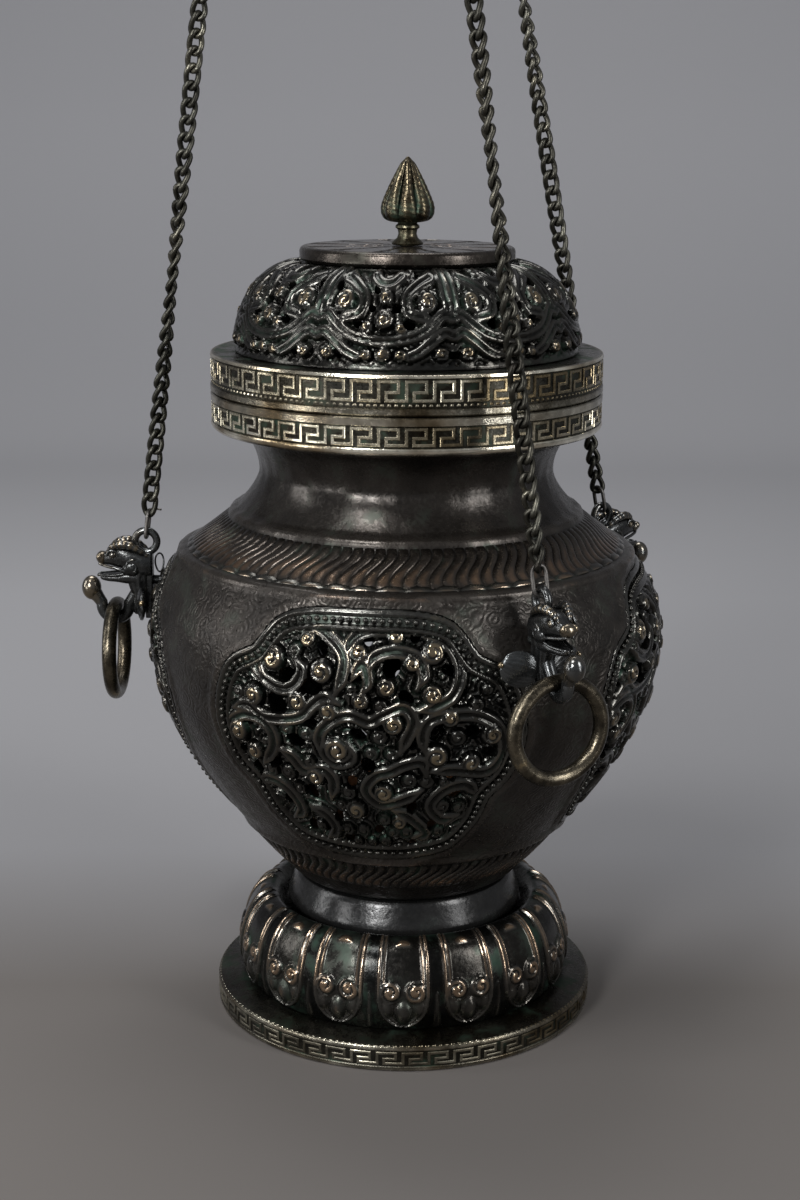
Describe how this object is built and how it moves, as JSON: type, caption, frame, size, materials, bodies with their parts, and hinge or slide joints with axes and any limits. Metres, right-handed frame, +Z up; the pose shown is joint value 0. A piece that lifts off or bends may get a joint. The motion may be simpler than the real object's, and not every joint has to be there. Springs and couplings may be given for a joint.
{
  "type": "hanging incense burner",
  "caption": "Round-bellied hanging incense burner: pierced bowl and lid, lotus foot, beast-head lugs with loose rings, and chains up to a swivel hanger.",
  "frame": {"origin": "on the bowl's axis at the underside of the foot", "axes": "+Z up the bowl's axis, -Y towards the front of the picture, +X to its right"},
  "size_m": [0.1819, 0.1666, 0.3506],
  "materials": {
    "dark_bronze": "dark brown-black patina, glossy on the neck, rubbed coppery on the ridges",
    "openwork_bronze": "dark cast openwork with brassy high points and green verdigris in the hollows",
    "worn_brass": "key-fret bands, polished pale brass lines on a dark ground",
    "ring_brass": "smooth dark olive brass",
    "chain_brass": "dull dark olive wire",
    "iron_fixing": "plain dark iron",
    "pan_copper": "dull brown copper"
  },
  "bodies": {
    "burner": {"base_plate": "dark_bronze", "plinth": "worn_brass", "lotus_ring": "dark_bronze", "bowl_collar": "dark_bronze", "foot_bolt": "iron_fixing", "foot_washer": "iron_fixing", "foot_nut": "iron_fixing", "bowl": "dark_bronze", "medallion_front": "openwork_bronze", "medallion_right": "openwork_bronze", "medallion_back": "openwork_bronze", "medallion_left": "openwork_bronze", "mouth_band": "worn_brass", "head_left": "dark_bronze", "head_front": "dark_bronze", "head_back": "dark_bronze", "peg_washer_left_upper": "iron_fixing", "peg_washer_left_lower": "iron_fixing", "peg_washer_front_upper": "iron_fixing", "peg_washer_front_lower": "iron_fixing", "peg_washer_back_upper": "iron_fixing", "peg_washer_back_lower": "iron_fixing"},
    "lid": {"lid_band": "worn_brass", "lid_dome": "openwork_bronze", "lid_cap": "dark_bronze", "finial": "openwork_bronze", "finial_nut": "iron_fixing"},
    "ash_pan": {"ash_pan": "pan_copper"},
    "hanger": {"hanger": "dark_bronze"},
    "swivel": {"swivel_ring": "ring_brass"},
    "ring_left": {"ring_left": "ring_brass"},
    "chain_left": {"chain_hook_left": "chain_brass", "chain_left": "chain_brass", "top_hook_left": "chain_brass"},
    "ring_front": {"ring_front": "ring_brass"},
    "chain_front": {"chain_hook_front": "chain_brass", "chain_front": "chain_brass", "top_hook_front": "chain_brass"},
    "ring_back": {"ring_back": "ring_brass"},
    "chain_back": {"chain_hook_back": "chain_brass", "chain_back": "chain_brass", "top_hook_back": "chain_brass"}
  },
  "joints": [
    {"name": "lid_lift", "type": "slide", "parent": "burner", "child": "lid", "axis": [0, 0, 1], "range_m": [0, 0.022]},
    {"name": "ash_pan_lift", "type": "slide", "parent": "burner", "child": "ash_pan", "axis": [0, 0, 1], "range_m": [0, 0.12]},
    {"name": "ring_left_swing", "type": "hinge", "parent": "burner", "child": "ring_left", "pos_m": [-0.08954, 0.00313, 0.1257], "axis": [0.0349, 0.9994, 0], "range_deg": [-20, 85]},
    {"name": "chain_left_swing", "type": "hinge", "parent": "burner", "child": "chain_left", "pos_m": [-0.07965, 0.00278, 0.1459], "axis": [-0.0349, -0.9994, 0], "range_deg": [0, 60]},
    {"name": "ring_front_swing", "type": "hinge", "parent": "burner", "child": "ring_front", "pos_m": [0.04151, -0.0794, 0.1257], "axis": [-0.8862, -0.4633, 0], "range_deg": [-20, 85]},
    {"name": "chain_front_swing", "type": "hinge", "parent": "burner", "child": "chain_front", "pos_m": [0.03692, -0.07063, 0.1459], "axis": [0.8862, 0.4633, 0], "range_deg": [0, 60]},
    {"name": "ring_back_swing", "type": "hinge", "parent": "burner", "child": "ring_back", "pos_m": [0.07221, 0.05304, 0.1257], "axis": [0.592, -0.8059, 0], "range_deg": [-20, 85]},
    {"name": "chain_back_swing", "type": "hinge", "parent": "burner", "child": "chain_back", "pos_m": [0.06423, 0.04718, 0.1459], "axis": [-0.592, 0.8059, 0], "range_deg": [0, 60]},
    {"name": "hanger_lift", "type": "hinge", "parent": "chain_left", "child": "hanger", "pos_m": [-0.05824, 0.00249, 0.31938], "axis": [-0.0349, -0.9994, 0], "range_deg": [0, 60]},
    {"name": "swivel_turn", "type": "hinge", "parent": "hanger", "child": "swivel", "pos_m": [-0.00817, 0.00074, 0.32668], "axis": [0, 0, 1], "continuous": true}
  ]
}
